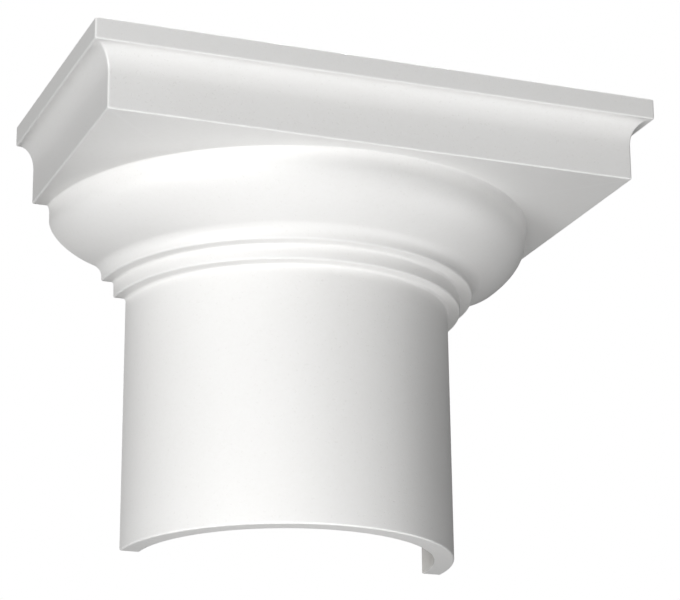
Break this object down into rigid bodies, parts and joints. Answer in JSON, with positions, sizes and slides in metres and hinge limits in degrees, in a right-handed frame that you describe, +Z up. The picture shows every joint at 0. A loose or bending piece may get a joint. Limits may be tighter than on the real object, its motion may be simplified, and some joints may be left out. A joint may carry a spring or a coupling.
{
  "type": "half column capital",
  "caption": "Plain half-round column capital: square-edged abacus with a cove, round echinus, stepped annulets and a hollow half-round neck, flat at the back to go against a wall.",
  "frame": {"origin": "middle of the bounding box at the underside of the neck's foot", "axes": "+Z up from the neck's foot to the abacus, +X along the abacus's long front, +Y from the front into the wall"},
  "size_m": [0.39, 0.195, 0.292],
  "materials": {
    "primed_foam": "smooth moulded rigid foam with a white primer coat, satin to matte"
  },
  "bodies": {
    "root": {"half_capital": "primed_foam"}
  },
  "joints": []
}
